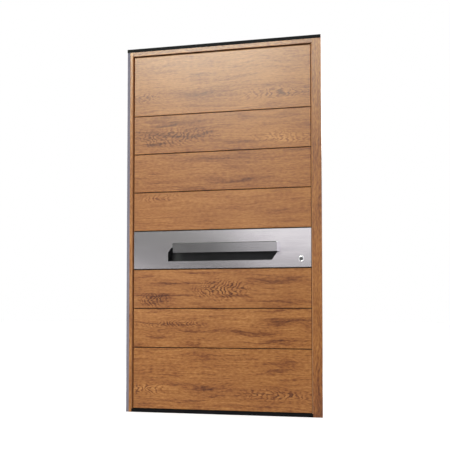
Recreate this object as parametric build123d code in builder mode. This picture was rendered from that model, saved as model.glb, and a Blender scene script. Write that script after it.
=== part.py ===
from build123d import *
import os

# A panelled front door in its timber frame: a boarded leaf with a steel handle band,
# hung on three barrel hinges, with a three-bolt lock worked by a key and an inside lever.
# X runs from the hinge side to the lock side, -Y is the outside, Z = 0 is the floor.

# Frame, overall
frame_width = 1250
frame_height = 2250
frame_depth = 90

# Widths across the outside, from the hinge side to the lock side
trim_width = 18
hinge_lip = 18
hinge_gap = 14
lock_gap = 7
lock_lip = 57

# Heights up the outside, from the floor to the top
threshold_height = 20
sill_gap = 5
head_gap = 11
head_lip = 26
cap_height = 20

# Rebate that the leaf closes into
lip_depth = 30
gasket_space = 3
lip_overlap = 6
rebate_clearance = 5
edge_round = 2

# Frame pieces; the cover board on the lock jamb laps over the wall's corner
cover_thickness = 10
cover_lap = 22
cap_sheet = 2
trim_depth = 12
trim_setback = 2
trim_wall = 2
threshold_nose = 4
threshold_ramp = 12
threshold_drop = 8
gasket_width = 5
gasket_thickness = 2.7
gasket_inset = 0.5
gasket_round = 1.2
fixing_radius = 4
low_fixing_height = 150
top_fixing_inset = 200
mid_fixing_height = 760
mid_fixing_spacing = 640

# Leaf facing: two tall fields, and six short ones between them
tall_field = 370
short_fields = 6
boards_below_band = 3
groove = 5
board_thickness = 12
board_bevel = 1.5
backing_thickness = 2
skin_thickness = 3
steel_thickness = 2.5
steel_bevel = 0.6

# Leaf structure
hinge_stile_width = 105
lock_stile_width = 120
rail_height = 100
band_rail_height = 48
seal_width = 14
seal_height = 4.7

# Finger recess and grip ledge in the steel band
recess_inset_left = 229
recess_inset_right = 243
recess_rise = 48
recess_height = 79
recess_shoulder = 52
recess_lean_left = 20
recess_lean_right = 38
recess_depth = 50
recess_wall = 1.5
ledge_inset_left = 272
ledge_inset_right = 200
ledge_rise = 49
ledge_height = 59
ledge_projection = 36
ledge_wall = 3
ledge_bend = 3
ledge_cap = 3
ledge_face_thickness = 2
ledge_face_inset = 4

# Lock, measured from the leaf's edge and from the steel band's lower edge
backset = 73
key_rise = 51
lever_spacing = 92
case_depth = 92
case_thickness = 16
case_below = 40
case_above = 80
faceplate_width = 24
faceplate_thickness = 3
faceplate_overhang = 65
latch_rise = 30
latch_height = 20
latch_length = 49
latch_throw = 10
latch_travel = 12
dead_rise = 42
dead_height = 30
dead_length = 54
bolt_thickness = 12
bolt_throw = 20
pin_bolt_radius = 7
pin_bolt_length = 44
pin_bolt_nose = 2
pin_bolt_offset = 740
pin_case_height = 90
pin_case_depth = 58
rod_width = 10
rod_thickness = 3
rod_travel = 12
rod_entry = 16
rod_setback = 2
slide_clearance = 0.3
running_clearance = 0.05

# Cylinder
barrel_radius = 11
stem_width = 8
stem_drop = 24
stem_length = 48
plug_radius = 7
cam_length = 10
cam_hub_radius = 9
cam_radius = 15
cam_width = 8
cam_clearance = 1.3
barrel_stand = 3
plug_setback = 0.3
key_slot_height = 8
key_slot_width = 2.4
key_slot_depth = 6
rosette_radius = 17
rosette_thickness = 4
rosette_bevel = 1

# Inside lever
rose_radius = 26
rose_thickness = 7
rose_bevel = 1.5
neck_radius = 9
lever_standoff = 58
lever_length = 130
lever_end_bevel = 2
spindle_width = 8
spindle_in_lever = 28
follower_radius = 12
spindle_hole_radius = 14

# Strikes in the lock jamb
strike_thickness = 3
strike_margin = 25
strike_hole_room = 0.7
pocket_spare = 6

# Hinges
hinge_heights_shares = (0.11, 0.5, 0.89)
hinge_height = 120
knuckle_radius = 9
knuckle_gap = 0.3
hinge_pin_radius = 5
pin_head_height = 3
wing_thickness = 4
frame_wing_width = 16
leaf_wing_width = 40
wing_gap = 1.5
axis_clearance = 0.5

overrun = 1

# Places worked out from the sizes above
left = -frame_width / 2
right = frame_width / 2
outside = -frame_depth / 2
inside = frame_depth / 2
lip_back = outside + lip_depth
step_face = lip_back + gasket_space
hinge_lip_left = left + trim_width
hinge_lip_right = hinge_lip_left + hinge_lip
leaf_left = hinge_lip_right + hinge_gap
lock_lip_left = right - lock_lip
leaf_right = lock_lip_left - lock_gap
wide_left = hinge_lip_right - lip_overlap
wide_right = lock_lip_left + lip_overlap
hinge_rebate = wide_left - rebate_clearance
lock_rebate = wide_right + rebate_clearance
leaf_bottom = threshold_height + sill_gap
head_bottom = frame_height - cap_height - head_lip
leaf_top = head_bottom - head_gap
wide_top = head_bottom + lip_overlap
head_rebate = wide_top + rebate_clearance
timber_top = frame_height - cap_sheet
cover_back = outside + cover_thickness
lock_jamb_side = right - cover_lap
short_field = (leaf_top - leaf_bottom - 2 * tall_field) / short_fields
field_edges = [leaf_bottom + tall_field + short_field * n for n in range(short_fields + 1)]
field_edges = [leaf_bottom] + field_edges + [leaf_top]
board_back = outside + board_thickness
core_front = board_back + backing_thickness
core_back = inside - skin_thickness
core_left = wide_left + hinge_stile_width
core_right = wide_right - lock_stile_width
band_edges = field_edges[boards_below_band:][:2]
band_bottom = band_edges[0] + groove / 2
band_top = band_edges[1] - groove / 2
recess_left = leaf_left + recess_inset_left
recess_right = leaf_right - recess_inset_right
recess_bottom = band_bottom + recess_rise
recess_top = recess_bottom + recess_height
recess_back = outside + recess_depth
ledge_left = leaf_left + ledge_inset_left
ledge_right = leaf_right - ledge_inset_right
ledge_bottom = recess_bottom + ledge_rise
ledge_top = ledge_bottom + ledge_height
ledge_front = outside - ledge_projection + ledge_face_thickness
key_x = wide_right - backset
key_z = band_bottom + key_rise
lever_z = key_z + lever_spacing
lock_y = (step_face + inside) / 2
faceplate_back = wide_right - faceplate_thickness
case_left = faceplate_back - case_depth
case_bottom = key_z - case_below
case_top = lever_z + case_above
latch_z = lever_z + latch_rise
dead_z = key_z + dead_rise
pin_bolt_heights = {"lower": dead_z - pin_bolt_offset, "upper": dead_z + pin_bolt_offset}
faceplate_bottom = pin_bolt_heights["lower"] - faceplate_overhang
faceplate_top = pin_bolt_heights["upper"] + faceplate_overhang
rod_right = faceplate_back - rod_setback
rod_left = rod_right - rod_thickness
hinge_axis_x = (hinge_rebate + wide_left) / 2
hinge_axis_y = inside + knuckle_radius + axis_clearance

os.makedirs("parts", exist_ok=True)


def save(piece, name):
    """Label a finished piece and write its file."""
    piece.part.label = name
    export_step(piece.part, f"parts/{name}.step")


def front_plane(y):
    """Plane facing outside at depth y, with X across and Z up."""
    return Plane.XZ.offset(-y)


def side_plane(x):
    """Plane facing the lock side at x, with Y across and Z up."""
    return Plane.YZ.offset(x)


def panel(low, high, mode=Mode.ADD):
    """A rectangle in the active sketch between two opposite corners."""
    with Locations(((low[0] + high[0]) / 2, (low[1] + high[1]) / 2)):
        Rectangle(high[0] - low[0], high[1] - low[1], mode=mode)


def pocket(x_limits, y_limits, z_limits, mode=Mode.SUBTRACT):
    """A straight-sided pocket, given by its limits along X, Y and Z."""
    limits = (x_limits, y_limits, z_limits)
    with Locations(tuple((low + high) / 2 for low, high in limits)):
        Box(*(high - low for low, high in limits), mode=mode)


def bore_y(x, z, radius, y_limits, mode=Mode.SUBTRACT):
    """A round hole or bar along Y."""
    with Locations(Location((x, sum(y_limits) / 2, z), (90, 0, 0))):
        Cylinder(radius, y_limits[1] - y_limits[0], mode=mode)


def bore_x(y, z, radius, x_limits, mode=Mode.SUBTRACT):
    """A round hole or bar along X."""
    with Locations(Location((sum(x_limits) / 2, y, z), (0, 90, 0))):
        Cylinder(radius, x_limits[1] - x_limits[0], mode=mode)


def bar_z(x, y, radius, z_limits, mode=Mode.ADD):
    """A round bar or hole along Z."""
    with Locations((x, y, sum(z_limits) / 2)):
        Cylinder(radius, z_limits[1] - z_limits[0], mode=mode)


def around(middle, size, room=0):
    """Limits of a size centred on a place, with room on both sides."""
    return (middle - size / 2 - room, middle + size / 2 + room)


def fixing_holes(x_limits):
    """Holes for the frame screws through a jamb, in two pairs."""
    middle = (lip_back + inside) / 2
    end_heights = (low_fixing_height, frame_height - top_fixing_inset)
    for z in end_heights + (mid_fixing_height, mid_fixing_height + mid_fixing_spacing):
        bore_x(middle, z, fixing_radius, x_limits)


# Frame: the hinge jamb is stepped, with a seat for the edge trim beside its lip
with BuildPart() as hinge_jamb:
    with BuildSketch(Plane.XY):
        Polygon(
            (hinge_lip_left, outside),
            (hinge_lip_right, outside),
            (hinge_lip_right, lip_back),
            (hinge_rebate, lip_back),
            (hinge_rebate, inside),
            (left, inside),
            (left, outside + trim_setback + trim_depth),
            (hinge_lip_left, outside + trim_setback + trim_depth),
            align=None,
        )
    extrude(amount=timber_top)
    fillet(hinge_jamb.edges().filter_by(Axis.Z).group_by(Axis.Y)[0], edge_round)
    fixing_holes((left - overrun, hinge_rebate + overrun))
save(hinge_jamb, "hinge_jamb")

# The lock jamb has seats for the strikes, pockets for the bolts and an open throat for the latch
strike_face = lock_rebate + strike_thickness
strike_y = around(lock_y, faceplate_width)
main_strike_z = (dead_z - dead_height / 2 - strike_margin, latch_z + latch_height / 2 + strike_margin)
bolt_room_y = around(lock_y, bolt_thickness, strike_hole_room)
dead_room_z = around(dead_z, dead_height, strike_hole_room)
latch_room_z = around(latch_z, latch_height, strike_hole_room)
throat_y = (bolt_room_y[0], inside + overrun)
pin_room = pin_bolt_radius + strike_hole_room
bolt_pocket_end = wide_right + bolt_throw + pocket_spare
throat_end = wide_right + latch_throw + pocket_spare
with BuildPart() as lock_jamb:
    with BuildSketch(Plane.XY):
        Polygon(
            (lock_lip_left, cover_back),
            (lock_jamb_side, cover_back),
            (lock_jamb_side, inside),
            (lock_rebate, inside),
            (lock_rebate, lip_back),
            (lock_lip_left, lip_back),
            align=None,
        )
    extrude(amount=timber_top)
    fixing_holes((lock_rebate - overrun, lock_jamb_side + overrun))
    pocket((lock_rebate - overrun, strike_face), (strike_y[0], inside + overrun), main_strike_z)
    pocket((lock_rebate, bolt_pocket_end), bolt_room_y, dead_room_z)
    pocket((lock_rebate, throat_end), throat_y, latch_room_z)
    for z in pin_bolt_heights.values():
        strike_z = around(z, 2 * pin_bolt_radius, strike_margin)
        pocket((lock_rebate - overrun, strike_face), strike_y, strike_z)
        bore_x(lock_y, z, pin_room, (lock_rebate, bolt_pocket_end))
save(lock_jamb, "lock_jamb")

# Cover board on the front of the lock jamb
with BuildPart() as lock_cover_board:
    with BuildSketch(Plane.XY):
        panel((lock_lip_left, outside), (right, cover_back))
    extrude(amount=timber_top)
    fillet(lock_cover_board.edges().filter_by(Axis.Z).group_by(Axis.Y)[0], edge_round)
save(lock_cover_board, "lock_cover_board")

# The head's ends are stepped to fit between the lips in front and the jambs behind
with BuildPart() as head_rail:
    with BuildSketch(side_plane(hinge_lip_right)):
        panel((outside, head_bottom), (lip_back, timber_top))
    extrude(amount=lock_lip_left - hinge_lip_right)
    with BuildSketch(side_plane(hinge_rebate)):
        panel((lip_back, head_rebate), (inside, timber_top))
    extrude(amount=lock_rebate - hinge_rebate)
    fillet(head_rail.edges().filter_by(Axis.X).group_by(Axis.Y)[0].sort_by(Axis.Z)[0], edge_round)
save(head_rail, "head_rail")

# Folded sheet over the top of the frame, with a front leg that shows as a dark band; it follows the
# lap of the cover board
with BuildPart() as head_cap:
    with BuildSketch(side_plane(left)):
        Polygon(
            (outside - cap_sheet, frame_height - cap_height),
            (outside, frame_height - cap_height),
            (outside, timber_top),
            (inside, timber_top),
            (inside, frame_height),
            (outside - cap_sheet, frame_height),
            align=None,
        )
    extrude(amount=frame_width)
    pocket(
        (lock_jamb_side, right + overrun),
        (cover_back, inside + overrun),
        (timber_top - overrun, frame_height + overrun),
    )
save(head_cap, "head_cap")

# Edge trim: a channel that is open towards the jamb
trim_front = outside + trim_setback
with BuildPart() as hinge_side_trim:
    with BuildSketch(Plane.XY):
        panel((left, trim_front), (hinge_lip_left, trim_front + trim_depth))
        panel(
            (left + trim_wall, trim_front + trim_wall),
            (hinge_lip_left - trim_wall, trim_front + trim_depth),
            mode=Mode.SUBTRACT,
        )
    extrude(amount=frame_height - cap_height)
save(hinge_side_trim, "hinge_side_trim")

# Threshold: a bevelled nose outside and a ramp inside, with the same stepped ends as the head
with BuildPart() as threshold:
    with BuildSketch(side_plane(hinge_lip_right)):
        Polygon(
            (outside, 0),
            (lip_back, 0),
            (lip_back, threshold_height),
            (outside + threshold_nose, threshold_height),
            (outside, threshold_height - threshold_nose),
            align=None,
        )
    extrude(amount=lock_lip_left - hinge_lip_right)
    with BuildSketch(side_plane(hinge_rebate)):
        Polygon(
            (lip_back, 0),
            (inside, 0),
            (inside, threshold_height - threshold_drop),
            (inside - threshold_ramp, threshold_height),
            (lip_back, threshold_height),
            align=None,
        )
    extrude(amount=lock_rebate - hinge_rebate)
save(threshold, "threshold")

# Gasket behind the lips, one loop up both jambs and under the head
seal_left = hinge_lip_right - gasket_inset
seal_right = lock_lip_left + gasket_inset
seal_top = head_bottom + gasket_inset
with BuildPart() as frame_gasket:
    with BuildSketch(front_plane(lip_back + gasket_thickness)):
        panel(
            (seal_left - gasket_width, threshold_height),
            (seal_right + gasket_width, seal_top + gasket_width),
        )
        panel((seal_left, threshold_height), (seal_right, seal_top), mode=Mode.SUBTRACT)
    extrude(amount=gasket_thickness)
    chamfer(frame_gasket.faces().sort_by(Axis.Y)[-1].edges(), gasket_round)
save(frame_gasket, "frame_gasket")

# Strike plates, flush in the lock jamb; the main one is open to the inside at the latch
with BuildPart() as main_strike:
    with BuildSketch(side_plane(lock_rebate)):
        panel((strike_y[0], main_strike_z[0]), (inside, main_strike_z[1]))
        panel((bolt_room_y[0], dead_room_z[0]), (bolt_room_y[1], dead_room_z[1]), mode=Mode.SUBTRACT)
        panel((throat_y[0], latch_room_z[0]), (throat_y[1], latch_room_z[1]), mode=Mode.SUBTRACT)
    extrude(amount=strike_thickness)
save(main_strike, "main_strike")

for place, z in pin_bolt_heights.items():
    strike_z = around(z, 2 * pin_bolt_radius, strike_margin)
    with BuildPart() as pin_strike:
        with BuildSketch(side_plane(lock_rebate)):
            panel((strike_y[0], strike_z[0]), (strike_y[1], strike_z[1]))
            with Locations((lock_y, z)):
                Circle(pin_room, mode=Mode.SUBTRACT)
        extrude(amount=strike_thickness)
    save(pin_strike, f"{place}_strike")

# Leaf frame: stiles with a stepped edge, and rails between them
lock_case_room = (case_left, wide_right + overrun)
case_y = around(lock_y, case_thickness)
faceplate_y = around(lock_y, faceplate_width)
rod_room_y = around(lock_y, rod_width, 2 * slide_clearance)
rod_room_x = (rod_left - 2 * slide_clearance, wide_right + overrun)
with BuildPart() as hinge_stile:
    with BuildSketch(front_plane(step_face)):
        panel((leaf_left, leaf_bottom), (core_left, leaf_top))
    extrude(amount=step_face - core_front)
    with BuildSketch(front_plane(core_back)):
        panel((wide_left, leaf_bottom), (core_left, wide_top))
    extrude(amount=core_back - step_face)
save(hinge_stile, "hinge_stile")

# The lock stile is cut for the faceplate, the rods, the cases, the cylinder and the spindle
with BuildPart() as lock_stile:
    with BuildSketch(front_plane(step_face)):
        panel((core_right, leaf_bottom), (leaf_right, leaf_top))
    extrude(amount=step_face - core_front)
    with BuildSketch(front_plane(core_back)):
        panel((core_right, leaf_bottom), (wide_right, wide_top))
    extrude(amount=core_back - step_face)
    pocket((faceplate_back, wide_right + overrun), faceplate_y, (faceplate_bottom, faceplate_top))
    pocket(lock_case_room, case_y, (case_bottom, case_top))
    for z in pin_bolt_heights.values():
        pocket((faceplate_back - pin_case_depth, wide_right), case_y, around(z, pin_case_height))
    pocket(rod_room_x, rod_room_y, (pin_bolt_heights["lower"], pin_bolt_heights["upper"]))
    bore_y(key_x, key_z, barrel_radius + slide_clearance, (core_front - overrun, core_back + overrun))
    pocket(
        around(key_x, stem_width, slide_clearance),
        around(lock_y, stem_length, slide_clearance),
        (key_z - stem_drop - slide_clearance, key_z),
    )
    bore_y(key_x, lever_z, spindle_hole_radius, (lock_y, core_back + overrun))
save(lock_stile, "lock_stile")

with BuildPart() as top_rail:
    with BuildSketch(side_plane(core_left)):
        panel((core_front, wide_top - rail_height), (step_face, leaf_top))
        panel((step_face, wide_top - rail_height), (core_back, wide_top))
    extrude(amount=core_right - core_left)
save(top_rail, "top_rail")

rail_limits = {
    "bottom_rail": (leaf_bottom, leaf_bottom + rail_height),
    "lower_band_rail": around(band_edges[0], band_rail_height),
    "upper_band_rail": around(band_edges[1], band_rail_height),
}
for name, (low, high) in rail_limits.items():
    with BuildPart() as rail:
        with BuildSketch(side_plane(core_left)):
            panel((core_front, low), (core_back, high))
        extrude(amount=core_right - core_left)
    save(rail, name)

# Outline of the finger recess: straight along the bottom, with leaning ends
shoulder_z = recess_bottom + recess_shoulder
with BuildSketch() as recess_opening:
    Polygon(
        (recess_left, recess_bottom),
        (recess_right, recess_bottom),
        (recess_right + recess_lean_right, shoulder_z),
        (recess_right + recess_lean_right, recess_top),
        (recess_left + recess_lean_left, recess_top),
        (recess_left, shoulder_z),
        align=None,
    )
with BuildSketch() as recess_outline:
    offset(recess_opening.sketch, amount=recess_wall, kind=Kind.INTERSECTION)

# Insulation in three slabs between the rails; the middle slab is hollowed for the finger recess
slab_limits = (
    (rail_limits["bottom_rail"][1], rail_limits["lower_band_rail"][0]),
    (rail_limits["lower_band_rail"][1], rail_limits["upper_band_rail"][0]),
    (rail_limits["upper_band_rail"][1], wide_top - rail_height),
)
with BuildPart() as insulation:
    with BuildSketch(side_plane(core_left)):
        for low, high in slab_limits:
            panel((core_front, low), (core_back, high))
    extrude(amount=core_right - core_left)
    with BuildSketch(front_plane(recess_back)):
        add(recess_outline.sketch)
    extrude(amount=recess_depth, mode=Mode.SUBTRACT)
save(insulation, "insulation")

# Sheets and plates that the recess and the cylinder pass through
layers = {
    "backing_sheet": (board_back, backing_thickness, leaf_bottom, leaf_top),
    "band_carrier": (outside + steel_thickness, board_thickness - steel_thickness, band_bottom, band_top),
    "steel_band": (outside, steel_thickness, band_bottom, band_top),
}
for name, (front, thickness, low, high) in layers.items():
    with BuildPart() as layer:
        with BuildSketch(front_plane(front + thickness)):
            panel((leaf_left, low), (leaf_right, high))
            add(recess_outline.sketch, mode=Mode.SUBTRACT)
            with Locations((key_x, key_z)):
                Circle(barrel_radius + slide_clearance, mode=Mode.SUBTRACT)
        extrude(amount=thickness)
        if name == "steel_band":
            chamfer(layer.faces().sort_by(Axis.Y)[0].outer_wire().edges(), steel_bevel)
    save(layer, name)

with BuildPart() as inner_skin:
    with BuildSketch(front_plane(inside)):
        panel((wide_left, leaf_bottom), (wide_right, wide_top))
        with Locations((key_x, key_z)):
            Circle(barrel_radius + slide_clearance, mode=Mode.SUBTRACT)
        with Locations((key_x, lever_z)):
            Circle(spindle_hole_radius, mode=Mode.SUBTRACT)
    extrude(amount=skin_thickness)
save(inner_skin, "inner_skin")

# Boards of the facing, with bevelled front edges and open grooves between them
groove_middles = [leaf_bottom - groove / 2] + field_edges[1:-1] + [leaf_top + groove / 2]
for number, (low, high) in enumerate(zip(groove_middles, groove_middles[1:]), start=1):
    if number == boards_below_band + 1:
        continue
    with BuildPart() as board:
        with BuildSketch(front_plane(board_back)):
            panel((leaf_left, low + groove / 2), (leaf_right, high - groove / 2))
        extrude(amount=board_thickness)
        chamfer(board.faces().sort_by(Axis.Y)[0].edges(), board_bevel)
    save(board, f"board_{number}")

# Recess tray: a folded pan, open to the outside
with BuildPart() as recess_tray:
    with BuildSketch(front_plane(recess_back)):
        add(recess_outline.sketch)
    extrude(amount=recess_depth)
    with BuildSketch(front_plane(recess_back - recess_wall)):
        add(recess_opening.sketch)
    extrude(amount=recess_depth, mode=Mode.SUBTRACT)
save(recess_tray, "recess_tray")

# Grip ledge: a folded hood with a front, a top and a back flange on the steel band
with BuildPart() as grip_ledge:
    with BuildSketch(side_plane(ledge_left + ledge_cap)):
        Polygon(
            (ledge_front, ledge_bottom),
            (ledge_front + ledge_wall, ledge_bottom),
            (ledge_front + ledge_wall, ledge_top - ledge_wall),
            (outside - ledge_wall, ledge_top - ledge_wall),
            (outside - ledge_wall, recess_top + recess_wall),
            (outside, recess_top + recess_wall),
            (outside, ledge_top),
            (ledge_front, ledge_top),
            align=None,
        )
    extrude(amount=ledge_right - ledge_left - 2 * ledge_cap)
    top_edges = grip_ledge.edges().filter_by(Axis.X).group_by(Axis.Z)[-1]
    fillet(top_edges.sort_by(Axis.Y)[0], ledge_bend)
save(grip_ledge, "grip_ledge")

# Face plate on the hood; the hood shows as a thin line above it and at its left end
with BuildPart() as ledge_plate:
    with BuildSketch(front_plane(ledge_front)):
        panel(
            (ledge_left + ledge_face_inset, ledge_bottom),
            (ledge_right, ledge_top - ledge_face_inset),
        )
    extrude(amount=ledge_face_thickness)
save(ledge_plate, "ledge_plate")

for name, start in {"left_ledge_end": ledge_left, "right_ledge_end": ledge_right - ledge_cap}.items():
    with BuildPart() as ledge_end:
        with BuildSketch(side_plane(start)):
            panel((ledge_front, ledge_bottom), (outside, ledge_top))
        extrude(amount=ledge_cap)
        top_edges = ledge_end.edges().filter_by(Axis.X).group_by(Axis.Z)[-1]
        fillet(top_edges.sort_by(Axis.Y)[0], ledge_bend)
    save(ledge_end, name)

# Sweep seal under the leaf
with BuildPart() as bottom_seal:
    with BuildSketch(Plane.XY.offset(leaf_bottom - seal_height)):
        panel((leaf_left, core_front), (leaf_right, core_front + seal_width))
    extrude(amount=seal_height)
save(bottom_seal, "bottom_seal")

# Lock case, with guides for the bolts, a bearing for the follower and a round room for the cam
latch_y = around(lock_y, bolt_thickness)
latch_back = wide_right + latch_throw - latch_length
dead_front = wide_right - slide_clearance
dead_back = dead_front - dead_length
cam_room_radius = cam_radius + cam_clearance
with BuildPart() as lock_case:
    with BuildSketch(front_plane(case_y[1])):
        panel((case_left, case_bottom), (faceplate_back, case_top))
    extrude(amount=case_thickness)
    bore_y(key_x, key_z, cam_room_radius, (case_y[0] - overrun, case_y[1] + overrun))
    pocket(
        around(key_x, stem_width, slide_clearance),
        (case_y[0] - overrun, case_y[1] + overrun),
        (key_z - stem_drop - slide_clearance, key_z),
    )
    follower_room = follower_radius + running_clearance
    bore_y(key_x, lever_z, follower_room, (case_y[0] - overrun, case_y[1] + overrun))
    guide_y = around(lock_y, bolt_thickness, slide_clearance)
    pocket(
        (latch_back - latch_travel - slide_clearance, faceplate_back + overrun),
        guide_y,
        around(latch_z, latch_height, slide_clearance),
    )
    pocket(
        (dead_back - slide_clearance, faceplate_back + overrun),
        guide_y,
        around(dead_z, dead_height, slide_clearance),
    )
    rod_slot_y = around(lock_y, rod_width, slide_clearance)
    rod_slot_x = (rod_left - slide_clearance, rod_right + slide_clearance)
    pocket(rod_slot_x, rod_slot_y, (case_top - rod_entry - slide_clearance, case_top + overrun))
    low_rod_end = case_bottom + rod_entry + rod_travel + slide_clearance
    pocket(rod_slot_x, rod_slot_y, (case_bottom - overrun, low_rod_end))
save(lock_case, "lock_case")

with BuildPart() as lock_faceplate:
    with BuildSketch(side_plane(faceplate_back)):
        panel((faceplate_y[0], faceplate_bottom), (faceplate_y[1], faceplate_top))
        for z, height in ((latch_z, latch_height), (dead_z, dead_height)):
            with Locations((lock_y, z)):
                Rectangle(
                    bolt_thickness + 2 * slide_clearance,
                    height + 2 * slide_clearance,
                    mode=Mode.SUBTRACT,
                )
        for z in pin_bolt_heights.values():
            with Locations((lock_y, z)):
                Circle(pin_bolt_radius + slide_clearance, mode=Mode.SUBTRACT)
    extrude(amount=faceplate_thickness)
save(lock_faceplate, "lock_faceplate")

with BuildPart() as latch_bolt:
    with BuildSketch(Plane.XY.offset(latch_z - latch_height / 2)):
        Polygon(
            (latch_back, latch_y[0]),
            (wide_right + latch_throw, latch_y[0]),
            (wide_right, latch_y[1]),
            (latch_back, latch_y[1]),
            align=None,
        )
    extrude(amount=latch_height)
save(latch_bolt, "latch_bolt")

with BuildPart() as dead_bolt:
    with BuildSketch(side_plane(dead_back)):
        with Locations((lock_y, dead_z)):
            Rectangle(bolt_thickness, dead_height)
    extrude(amount=dead_length)
save(dead_bolt, "dead_bolt")

# Round bolts above and below, each in its own case, and the flat rods that drive them
rod_spans = {
    "lower": (pin_bolt_heights["lower"] + pin_case_height / 2 - rod_entry, case_bottom + rod_entry),
    "upper": (case_top - rod_entry, pin_bolt_heights["upper"] - pin_case_height / 2 + rod_entry),
}
rod_rooms = {
    "lower": (-rod_entry - slide_clearance, overrun),
    "upper": (-overrun, rod_entry + rod_travel + slide_clearance),
}
for place, z in pin_bolt_heights.items():
    case_ends = around(z, pin_case_height)
    rod_end = case_ends[1] if place == "lower" else case_ends[0]
    with BuildPart() as pin_case:
        with BuildSketch(front_plane(case_y[1])):
            panel((faceplate_back - pin_case_depth, case_ends[0]), (faceplate_back, case_ends[1]))
        extrude(amount=case_thickness)
        bore_x(
            lock_y,
            z,
            pin_bolt_radius + slide_clearance,
            (dead_front - pin_bolt_length - slide_clearance, faceplate_back + overrun),
        )
        pocket(rod_slot_x, rod_slot_y, tuple(rod_end + room for room in rod_rooms[place]))
    save(pin_case, f"{place}_bolt_case")

    with BuildPart() as pin_bolt:
        bore_x(lock_y, z, pin_bolt_radius, (dead_front - pin_bolt_length, dead_front), mode=Mode.ADD)
        chamfer(pin_bolt.faces().sort_by(Axis.X)[-1].edges(), pin_bolt_nose)
    save(pin_bolt, f"{place}_bolt")

    with BuildPart() as drive_rod:
        with BuildSketch(Plane.XY.offset(rod_spans[place][0])):
            panel((rod_left, lock_y - rod_width / 2), (rod_right, lock_y + rod_width / 2))
        extrude(amount=rod_spans[place][1] - rod_spans[place][0])
    save(drive_rod, f"{place}_drive_rod")

# Cylinder: a barrel with a stem, cut across the middle for the cam, and a plug that turns in it
barrel_y = (outside - barrel_stand, inside + barrel_stand)
cam_room_y = around(lock_y, cam_length, slide_clearance)
with BuildPart() as cylinder_body:
    bore_y(key_x, key_z, barrel_radius, barrel_y, mode=Mode.ADD)
    pocket(
        around(key_x, stem_width),
        around(lock_y, stem_length),
        (key_z - stem_drop, key_z),
        mode=Mode.ADD,
    )
    bore_y(key_x, key_z, plug_radius + running_clearance, (barrel_y[0] - overrun, barrel_y[1] + overrun))
    bore_y(key_x, key_z, cam_room_radius, cam_room_y)
save(cylinder_body, "cylinder_body")

plug_y = (barrel_y[0] + plug_setback, barrel_y[1] - plug_setback)
cam_y = around(lock_y, cam_length)
with BuildPart() as cylinder_plug:
    bore_y(key_x, key_z, plug_radius, plug_y, mode=Mode.ADD)
    bore_y(key_x, key_z, cam_hub_radius, cam_y, mode=Mode.ADD)
    pocket(around(key_x, cam_width), cam_y, (key_z, key_z + cam_radius - cam_clearance), mode=Mode.ADD)
    for end, inward in ((plug_y[0], key_slot_depth), (plug_y[1], -key_slot_depth)):
        slot_y = sorted((end - inward, end + inward))
        pocket(around(key_x, key_slot_width), slot_y, around(key_z, key_slot_height))
save(cylinder_plug, "cylinder_plug")

rosettes = {
    "outer_rosette": (outside - rosette_thickness, outside, 0),
    "inner_rosette": (inside, inside + rosette_thickness, -1),
}
for name, (low, high, shown) in rosettes.items():
    with BuildPart() as rosette:
        bore_y(key_x, key_z, rosette_radius, (low, high), mode=Mode.ADD)
        bore_y(key_x, key_z, barrel_radius + slide_clearance, (low - overrun, high + overrun))
        chamfer(rosette.faces().sort_by(Axis.Y)[shown].outer_wire().edges(), rosette_bevel)
    save(rosette, name)

# Inside lever: rose, mitred round handle, and the square spindle with its follower
rose_face = inside + rose_thickness
with BuildPart() as lever_rose:
    bore_y(key_x, lever_z, rose_radius, (inside, rose_face), mode=Mode.ADD)
    bore_y(key_x, lever_z, neck_radius + slide_clearance, (inside - overrun, rose_face + overrun))
    chamfer(lever_rose.faces().sort_by(Axis.Y)[-1].outer_wire().edges(), rose_bevel)
save(lever_rose, "lever_rose")

lever_y = inside + slide_clearance
with BuildPart() as lever_handle:
    with BuildLine() as lever_path:
        Polyline(
            (key_x, lever_y, lever_z),
            (key_x, inside + lever_standoff, lever_z),
            (key_x - lever_length, inside + lever_standoff, lever_z),
        )
    with BuildSketch(Plane(origin=lever_path.line @ 0, z_dir=lever_path.line % 0)):
        Circle(neck_radius)
    sweep(transition=Transition.RIGHT)
    chamfer(lever_handle.faces().sort_by(Axis.X)[0].edges(), lever_end_bevel)
    pocket(
        around(key_x, spindle_width),
        (lever_y - overrun, lever_y + spindle_in_lever),
        around(lever_z, spindle_width),
    )
save(lever_handle, "lever_handle")

with BuildPart() as lever_spindle:
    pocket(
        around(key_x, spindle_width),
        (case_y[0], lever_y + spindle_in_lever),
        around(lever_z, spindle_width),
        mode=Mode.ADD,
    )
    bore_y(key_x, lever_z, follower_radius, case_y, mode=Mode.ADD)
save(lever_spindle, "lever_spindle")

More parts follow.
